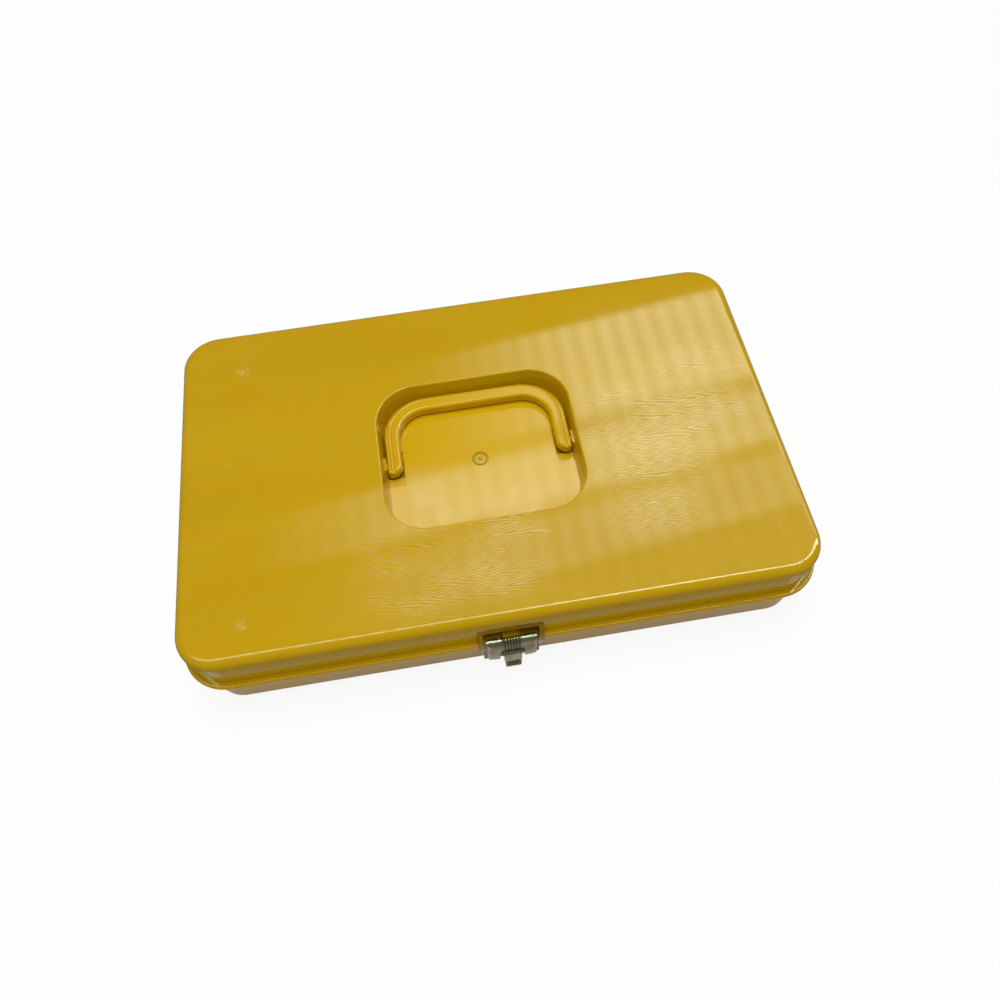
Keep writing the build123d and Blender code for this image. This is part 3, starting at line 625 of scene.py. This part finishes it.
def gold_plastic(name, gold, grained=False, painted_rim_highlight=False):
    """Moulded gold plastic, glossy and faintly streaked, with painted shade in the latch's bay. The
    lid's is grained on top with painted glints on the crests and worn in the well, and the base's
    has a painted highlight along its rim."""
    colours = bpy.context.scene.caddy_colours
    gloss = bpy.context.scene.caddy_finish.gloss_roughness
    made, tree, shader, place = new_material(name, {"IOR": PLASTIC_IOR, "Specular IOR Level": 0.5})
    parts = axes(tree, place)
    mask = clouds_and_specks(tree, place, *GOLD_CLOUDS)
    streak = noise(tree, stretched(tree, place, STREAK_SCALE), detail=3.0)
    shade = product(tree, ramp_between(tree, streak, *STREAK_LIMITS), STREAK_SHARE)
    colour = blend_colour(tree, shade, opaque(gold), opaque(colours.gold_deep))
    rough = math_node(tree, "ADD", gloss, product(tree, mask["Cloud"], CLOUD_ROUGHNESS))
    ripple = noise(tree, place, RIPPLE_SCALE, detail=2.0)
    normal = bump(tree, ripple, RIPPLE_DEPTH, group_node(tree, "Level Faces", {})["Normal"])
    # Painted shade in the latch's bay, which darkens its recess
    bay = bay_shade_share(tree, parts, mask["Cloud"])
    colour = blend_colour(tree, bay, colour, opaque(colours.painted_shade))
    if painted_rim_highlight:
        # Painted highlight: the band under the base's rim is lightened towards haze, for the light
        # it catches
        below, above = RIM_BAND
        rim = ramp_between(tree, parts["Z"], RIM_TOP - below, RIM_TOP - above, 0.0, RIM_HIGHLIGHT)
        colour = blend_colour(tree, rim, colour, opaque(colours.haze_and_highlight))
    if grained:
        colour, rough, normal = lid_layers(tree, place, parts, mask, colour, rough, normal)
    connect_finish(tree, shader, colour, rough, normal)
    return made


def cream_plastic():
    """Satin cream plastic of the trays, the spool rack and its pegs."""
    colours = bpy.context.scene.caddy_colours
    made, tree, shader, place = new_material("cream plastic", {"IOR": PLASTIC_IOR})
    mask = clouds_and_specks(tree, place, *CREAM_CLOUDS)
    cloud = product(tree, mask["Cloud"], CREAM_CLOUD_SHARE)
    colour = blend_colour(tree, cloud, opaque(colours.cream), opaque(colours.haze_and_highlight))
    rough = math_node(tree, "ADD", CREAM_ROUGHNESS, cloud)
    normal = bump(tree, mask["Speck"], CREAM_SPECK_DEPTH, strength=0.15)
    connect_finish(tree, shader, colour, rough, normal)
    return made


def plated_metal(name, bright, tarnish_and_shade, roughness, flutes=()):
    """Plated or turned steel with a little tarnish, and rounded flutes with painted shade between
    them where it has them.
    """
    made, tree, shader, place = new_material(name, {"Metallic": 1.0})
    mask = clouds_and_specks(tree, place, *METAL_CLOUDS)
    shade = product(tree, mask["Cloud"], TARNISH_SHARE)
    normal = bump(tree, mask["Speck"], RUBBED_DEPTH, strength=0.3)
    if flutes:
        # Ridges along the height, with painted shade between them
        pitch, count, low, high = flutes
        half_width = 0.5 * count * pitch
        parts = axes(tree, place)
        across = math_node(tree, "ABSOLUTE", parts["X"])
        inside = product(
            tree,
            fade_between(tree, across, half_width - FLUTE_FADE, half_width),
            ramp_between(tree, parts["Z"], low, low + FLUTE_FADE),
            fade_between(tree, parts["Z"], high, high + FLUTE_FADE),
        )
        wave = math_node(tree, "COSINE", product(tree, parts["X"], math.tau / pitch))
        ridge = product(tree, math_node(tree, "ADD", wave, 1.0), inside)
        # Painted shade between the ridges
        between = math_node(tree, "SUBTRACT", inside, product(tree, ridge, RIDGE_SHINE), clamp=True)
        shade = strongest(tree, shade, between)
        normal = bump(tree, ridge, FLUTE_DEPTH, normal)
    colour = blend_colour(tree, shade, opaque(bright), opaque(tarnish_and_shade))
    rough = math_node(tree, "ADD", roughness, product(tree, mask["Cloud"], TARNISH_ROUGHNESS))
    connect_finish(tree, shader, colour, rough, normal)
    return made


def dress(material, *nodes):
    """Gives a material to the slots of these CAD nodes."""
    for name in nodes:
        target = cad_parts[name]
        if not target.material_slots:
            target.data.materials.append(material)
        for holder in target.material_slots:
            holder.material = material


class CADDY_OT_effects(bpy.types.Operator):
    """Make the shared surface effects"""

    bl_idname = "caddy.effects"
    bl_label = "Surface Effects"

    def execute(self, context):
        grain_group()
        speckle_group()
        flat_group()
        return {"FINISHED"}


class CADDY_OT_shells(bpy.types.Operator):
    """Dress the base, the lid and the handle in moulded gold plastic"""

    bl_idname = "caddy.shells"
    bl_label = "Shells and Handle"

    def execute(self, context):
        colours = context.scene.caddy_colours
        dress(gold_plastic("gold plastic lid", colours.gold, grained=True), "lid_shell")
        dress(gold_plastic("gold plastic", colours.gold, painted_rim_highlight=True), "base_shell")
        dress(gold_plastic("gold plastic handle", colours.gold_light), "carry_handle")
        return {"FINISHED"}


class CADDY_OT_interior(bpy.types.Operator):
    """Dress the trays, the spool rack and its pegs"""

    bl_idname = "caddy.interior"
    bl_label = "Trays and Rack"

    def execute(self, context):
        cream = cream_plastic()
        dress(cream, "notions_tray_left", "notions_tray_right", "spool_rack", "spool_pegs")
        return {"FINISHED"}


class CADDY_OT_latch(bpy.types.Operator):
    """Dress the latch in nickel and its pins in steel"""

    bl_idname = "caddy.latch"
    bl_label = "Latch and Pins"

    def execute(self, context):
        colours = context.scene.caddy_colours
        bright, tarnish_and_shade = colours.nickel, colours.nickel_tarnish_and_shade
        claw_low, claw_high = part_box("latch_claw")
        tab_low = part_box("latch_lever")[0]
        claw_flutes = (CLAW_FLUTE_PITCH, CLAW_FLUTES, 0.5 * (claw_low.z + claw_high.z), claw_high.z)
        tab_ribs = (TAB_RIB_PITCH, TAB_RIBS, tab_low.z, tab_low.z + TAB_RIB_HEIGHT)
        nickel = plated_metal("nickel plate", bright, tarnish_and_shade, NICKEL_ROUGHNESS)
        steel = plated_metal("pin steel", colours.steel, tarnish_and_shade, STEEL_ROUGHNESS)
        fluted = plated_metal("fluted nickel", bright, tarnish_and_shade, CLAW_ROUGHNESS, claw_flutes)
        ribbed = plated_metal("ribbed nickel", bright, tarnish_and_shade, NICKEL_ROUGHNESS, tab_ribs)
        dress(nickel, "latch_plate", "latch_rivets")
        dress(fluted, "latch_claw")
        dress(ribbed, "latch_lever")
        dress(steel, "latch_lever_pin", "latch_claw_pin", "hinge_pin_left", "hinge_pin_right")
        return {"FINISHED"}


def floor_material():
    """A pale floor that the camera sees as white, gloss shows darker, and a shadow falls on."""
    made = bpy.data.materials.new("pale floor")
    tree = cleared_tree(made)
    path = add(tree, "ShaderNodeLightPath").outputs
    place = add(tree, "ShaderNodeTexCoord").outputs["Object"]
    away = add(tree, "ShaderNodeVectorMath", {0: place}, operation="LENGTH").outputs["Value"]
    parts = axes(tree, place)
    beside = strongest(tree, *(
        math_node(tree, "SUBTRACT", math_node(tree, "ABSOLUTE", parts[axis]), edge)
        for axis, edge in (("X", FRAME_HIGH.x), ("Y", FRAME_HIGH.y))
    ))
    mirrored = math_node(
        tree, "ADD", path["Is Glossy Ray"], path["Is Transmission Ray"], clamp=True
    )
    near = blend_colour(
        tree, ramp_between(tree, beside, *CONTACT_BAND),
        opaque(FLOOR_IN_GLOSS_NEAR), opaque(FLOOR_IN_GLOSS),
    )
    image = blend_colour(
        tree, ramp_between(tree, away, *FAR_BAND), near, opaque(FLOOR_IN_GLOSS_FAR)
    )
    colour = blend_colour(tree, mirrored, opaque(FLOOR_LIT), image)
    colour = blend_colour(tree, path["Is Camera Ray"], colour, opaque(FLOOR_SEEN))
    diffuse = add(tree, "ShaderNodeBsdfDiffuse", {"Color": colour})
    glow = add(tree, "ShaderNodeEmission", {"Color": opaque(WHITE), "Strength": 1.0})
    seen = product(
        tree, path["Is Camera Ray"], ramp_between(tree, away, *SEEN_BAND, *SEEN_GLOW)
    )
    in_gloss = ramp_between(tree, beside, *CONTACT_BAND, *GLOSS_GLOW)
    share = math_node(tree, "MULTIPLY_ADD", mirrored, in_gloss, seen)
    mixed = add(tree, "ShaderNodeMixShader", {0: share, 1: diffuse.outputs[0], 2: glow.outputs[0]})
    add(tree, "ShaderNodeOutputMaterial", {"Surface": mixed.outputs[0]})
    return made


def stage_floor():
    """A wide level floor under the caddy."""
    mesh = bpy.data.meshes.new("floor")
    shape = bmesh.new()
    bmesh.ops.create_grid(shape, x_segments=1, y_segments=1, size=FLOOR_REACH)
    shape.to_mesh(mesh)
    shape.free()
    mesh.materials.append(floor_material())
    floor = bpy.data.objects.new("floor", mesh)
    bpy.context.scene.collection.objects.link(floor)


def window_light(tree, way):
    """Light of a slatted window high behind the caddy, by direction: what gloss shows."""
    lowest, clear = WINDOW_HORIZON
    rise = math_node(tree, "MAXIMUM", way["Z"], lowest)
    across = math_node(tree, "DIVIDE", way["X"], rise)
    along = math_node(tree, "DIVIDE", way["Y"], rise)
    slant = math_node(tree, "SUBTRACT", along, product(tree, across, WINDOW_SLANT))
    panes = [
        product(
            tree,
            ramp_between(tree, slant, low - PANE_EDGE, low + PANE_EDGE),
            fade_between(tree, slant, high - PANE_EDGE, high + PANE_EDGE),
            ramp_between(tree, across, left, left + PANE_FADE),
            strength,
        )
        for low, high, strength, left in WINDOW_PANES
    ]
    wave = math_node(tree, "SINE", product(tree, across, math.tau / SLAT_PITCH))
    slats = math_node(tree, "MULTIPLY_ADD", wave, SLAT_DEPTH, 1.0 - SLAT_DEPTH)
    over_horizon = ramp_between(tree, way["Z"], lowest, clear)
    return product(tree, gather(tree, "ADD", *panes), slats, over_horizon)


def stage_world():
    """A pale room: white where the camera sees it, with a slatted window for the gloss."""
    world = bpy.data.worlds.new("pale room")
    bpy.context.scene.world = world
    tree = cleared_tree(world)
    way = axes(tree, add(tree, "ShaderNodeTexCoord").outputs["Generated"])
    glow = fade_between(tree, way["Z"], 0.0, ROOM_GLOW_TOP, ROOM_GLOW)
    front = ramp_between(tree, way["Y"], *ROOM_FRONT, ROOM_FRONT_SHARE, 1.0)
    room = math_node(tree, "MULTIPLY_ADD", glow, front, ROOM_LEVEL)
    window = blend_colour(tree, 1.0, window_light(tree, way), opaque(WINDOW_TINT), "MULTIPLY")
    gloss = blend_colour(tree, 1.0, room, window, "ADD")
    path = add(tree, "ShaderNodeLightPath").outputs
    level = blend_colour(tree, path["Is Glossy Ray"], opaque(ROOM_LIGHT), gloss)
    seen = math_node(tree, "ADD", path["Is Camera Ray"], path["Is Transmission Ray"], clamp=True)
    colour = blend_colour(tree, seen, level, opaque(WHITE))
    sky = add(tree, "ShaderNodeBackground", {"Color": colour, "Strength": 1.0})
    add(tree, "ShaderNodeOutputWorld", {"Surface": sky.outputs[0]})


def stage_lamp():
    """A large soft lamp overhead, which gloss doesn't show."""
    data = bpy.data.lights.new("key lamp", "AREA")
    data.shape = "RECTANGLE"
    data.size, data.size_y = KEY_SIZE
    data.energy = bpy.context.scene.caddy_stage.key_power
    lamp = bpy.data.objects.new("key lamp", data)
    lamp.location = KEY_PLACE
    aim = Vector(KEY_TARGET) - Vector(KEY_PLACE)
    lamp.rotation_euler = aim.to_track_quat("-Z", "Y").to_euler()
    lamp.visible_glossy = False
    bpy.context.scene.collection.objects.link(lamp)


def stage_camera():
    """The camera at the photograph's angle."""
    stage = bpy.context.scene.caddy_stage
    back = Vector((
        math.sin(stage.azimuth) * math.cos(stage.elevation),
        -math.cos(stage.azimuth) * math.cos(stage.elevation),
        math.sin(stage.elevation),
    ))
    level = Vector((math.cos(stage.azimuth), math.sin(stage.azimuth), 0.0))
    turn = Matrix.Rotation(stage.roll, 3, back)
    right, up = turn @ level, turn @ back.cross(level)
    data = bpy.data.cameras.new("camera")
    data.lens = stage.lens
    data.sensor_width = SENSOR_MM
    camera = bpy.data.objects.new("camera", data)
    across, along = CAMERA_SHIFT_MM
    place = Vector((0.0, 0.0, CAMERA_TARGET_Z_MM * MM)) + back * stage.distance
    place += right * across * MM + up * along * MM
    facing = Matrix((right, up, back)).transposed().to_4x4()
    camera.matrix_world = Matrix.Translation(place) @ facing
    bpy.context.scene.collection.objects.link(camera)
    bpy.context.scene.camera = camera


class CADDY_OT_stage(bpy.types.Operator):
    """Make the floor, the world, the lamp and the camera"""

    bl_idname = "caddy.stage"
    bl_label = "Stage"

    def execute(self, context):
        stage_floor()
        stage_world()
        stage_lamp()
        stage_camera()
        context.scene.view_settings.view_transform = "Standard"
        return {"FINISHED"}


class CADDY_PT_panel(bpy.types.Panel):
    """Sizes, colours and steps of the caddy's finish"""

    bl_label = "Sewing Caddy"
    bl_idname = "CADDY_PT_panel"
    bl_space_type = "VIEW_3D"
    bl_region_type = "UI"
    bl_category = "Caddy"

    def draw(self, context):
        for settings in SETTINGS:
            group = getattr(context.scene, settings)
            box = self.layout.box()
            for name in group.__annotations__:
                box.prop(group, name)
        for step in OPERATORS:
            self.layout.operator(step.bl_idname)


SETTINGS = {"caddy_colours": CaddyColours, "caddy_finish": CaddyFinish, "caddy_stage": CaddyStage}
OPERATORS = (CADDY_OT_effects, CADDY_OT_shells, CADDY_OT_interior, CADDY_OT_latch, CADDY_OT_stage)


def register():
    for made in (*SETTINGS.values(), *OPERATORS, CADDY_PT_panel):
        bpy.utils.register_class(made)
    for name, made in SETTINGS.items():
        setattr(bpy.types.Scene, name, PointerProperty(type=made))


def unregister():
    for name in SETTINGS:
        delattr(bpy.types.Scene, name)
    for made in reversed((*SETTINGS.values(), *OPERATORS, CADDY_PT_panel)):
        bpy.utils.unregister_class(made)


def main():
    """Registers the add-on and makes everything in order."""
    register()
    bpy.ops.caddy.effects()
    bpy.ops.caddy.shells()
    bpy.ops.caddy.interior()
    bpy.ops.caddy.latch()
    bpy.ops.caddy.stage()


if __name__ == "__main__":
    main()
